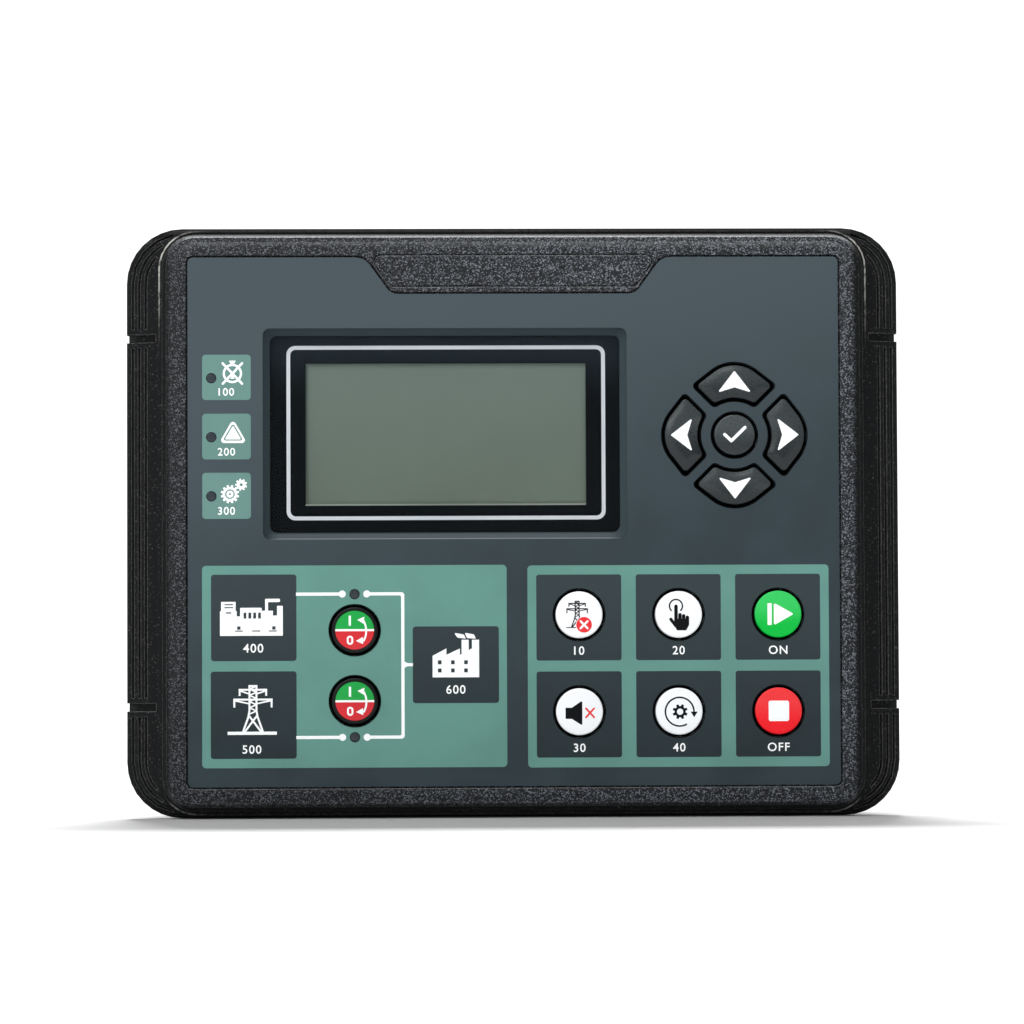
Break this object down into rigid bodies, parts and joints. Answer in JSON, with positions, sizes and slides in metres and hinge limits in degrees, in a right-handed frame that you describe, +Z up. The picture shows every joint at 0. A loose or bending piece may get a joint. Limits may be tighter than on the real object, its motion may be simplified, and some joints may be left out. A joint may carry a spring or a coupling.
{
  "type": "genset controller",
  "caption": "Panel-mounted genset controller with a screen, ribbed bezel, push keys, status lamps and pluggable rear terminals.",
  "frame": {"origin": "centre of the panel cut-out, in the plane of the mounting panel's front face", "axes": "+X to the viewer's right, +Y into the panel from the face to the terminals, +Z up the face"},
  "size_m": [0.209, 0.0563, 0.1594],
  "materials": {
    "bezel_black": "coarse grain",
    "plate_slate": "satin",
    "lens_clear": "gloss",
    "display": "smooth",
    "steel": "zinc plated",
    "light_guide": "smooth",
    "mat_black": "matte",
    "nav_black": "gloss",
    "key_white": "satin",
    "key_green": "satin",
    "key_red": "satin",
    "lamp_dark": "smooth",
    "board_green": "solder mask",
    "switch_black": "moulded",
    "housing_black": "fine grain",
    "gasket_black": "foam",
    "terminal_green": "moulded"
  },
  "bodies": {
    "controller_body": {"front_bezel": "bezel_black", "face_plate": "plate_slate", "lcd_window": "lens_clear", "lcd_frame": "steel", "lcd_glass": "display", "lcd_backlight": "light_guide", "keypad_mat": "mat_black", "front_board": "board_green", "rear_board": "board_green", "board_link": "switch_black", "rear_housing": "housing_black", "panel_gasket": "gasket_black", "switch_up": "switch_black", "switch_down": "switch_black", "switch_left": "switch_black", "switch_right": "switch_black", "switch_centre": "switch_black", "switch_genset_breaker": "switch_black", "switch_mains_breaker": "switch_black", "switch_load_test": "switch_black", "switch_manual": "switch_black", "switch_start": "switch_black", "switch_lamp_test": "switch_black", "switch_auto": "switch_black", "switch_stop": "switch_black", "indicator_lens_1": "lamp_dark", "indicator_lens_2": "lamp_dark", "indicator_lens_3": "lamp_dark", "breaker_lens_upper": "lamp_dark", "breaker_lens_lower": "lamp_dark", "case_screw_1": "steel", "case_screw_2": "steel", "case_screw_3": "steel", "case_screw_4": "steel", "terminal_socket_1": "terminal_green", "terminal_socket_2": "terminal_green", "terminal_socket_3": "terminal_green", "terminal_socket_4": "terminal_green", "terminal_plug_1": "terminal_green", "terminal_plug_2": "terminal_green", "terminal_plug_3": "terminal_green", "terminal_plug_4": "terminal_green", "panel_clip_left": "housing_black", "panel_clip_right": "housing_black", "clip_screw_left": "steel", "clip_screw_right": "steel"},
    "up": {"key_up": "nav_black"},
    "down": {"key_down": "nav_black"},
    "left": {"key_left": "nav_black"},
    "right": {"key_right": "nav_black"},
    "centre": {"key_centre": "nav_black"},
    "genset_breaker": {"key_genset_breaker": "nav_black"},
    "mains_breaker": {"key_mains_breaker": "nav_black"},
    "load_test": {"key_load_test": "key_white"},
    "manual": {"key_manual": "key_white"},
    "start": {"key_start": "key_green"},
    "lamp_test": {"key_lamp_test": "key_white"},
    "auto": {"key_auto": "key_white"},
    "stop": {"key_stop": "key_red"}
  },
  "joints": [
    {"name": "press_up", "type": "slide", "parent": "controller_body", "child": "up", "axis": [0, 1, 0], "range_m": [0, 0.001], "stiffness_N_per_m": 600, "springref_m": -0.0005},
    {"name": "press_down", "type": "slide", "parent": "controller_body", "child": "down", "axis": [0, 1, 0], "range_m": [0, 0.001], "stiffness_N_per_m": 600, "springref_m": -0.0005},
    {"name": "press_left", "type": "slide", "parent": "controller_body", "child": "left", "axis": [0, 1, 0], "range_m": [0, 0.001], "stiffness_N_per_m": 600, "springref_m": -0.0005},
    {"name": "press_right", "type": "slide", "parent": "controller_body", "child": "right", "axis": [0, 1, 0], "range_m": [0, 0.001], "stiffness_N_per_m": 600, "springref_m": -0.0005},
    {"name": "press_centre", "type": "slide", "parent": "controller_body", "child": "centre", "axis": [0, 1, 0], "range_m": [0, 0.001], "stiffness_N_per_m": 600, "springref_m": -0.0005},
    {"name": "press_genset_breaker", "type": "slide", "parent": "controller_body", "child": "genset_breaker", "axis": [0, 1, 0], "range_m": [0, 0.001], "stiffness_N_per_m": 600, "springref_m": -0.0005},
    {"name": "press_mains_breaker", "type": "slide", "parent": "controller_body", "child": "mains_breaker", "axis": [0, 1, 0], "range_m": [0, 0.001], "stiffness_N_per_m": 600, "springref_m": -0.0005},
    {"name": "press_load_test", "type": "slide", "parent": "controller_body", "child": "load_test", "axis": [0, 1, 0], "range_m": [0, 0.001], "stiffness_N_per_m": 600, "springref_m": -0.0005},
    {"name": "press_manual", "type": "slide", "parent": "controller_body", "child": "manual", "axis": [0, 1, 0], "range_m": [0, 0.001], "stiffness_N_per_m": 600, "springref_m": -0.0005},
    {"name": "press_start", "type": "slide", "parent": "controller_body", "child": "start", "axis": [0, 1, 0], "range_m": [0, 0.001], "stiffness_N_per_m": 600, "springref_m": -0.0005},
    {"name": "press_lamp_test", "type": "slide", "parent": "controller_body", "child": "lamp_test", "axis": [0, 1, 0], "range_m": [0, 0.001], "stiffness_N_per_m": 600, "springref_m": -0.0005},
    {"name": "press_auto", "type": "slide", "parent": "controller_body", "child": "auto", "axis": [0, 1, 0], "range_m": [0, 0.001], "stiffness_N_per_m": 600, "springref_m": -0.0005},
    {"name": "press_stop", "type": "slide", "parent": "controller_body", "child": "stop", "axis": [0, 1, 0], "range_m": [0, 0.001], "stiffness_N_per_m": 600, "springref_m": -0.0005}
  ]
}
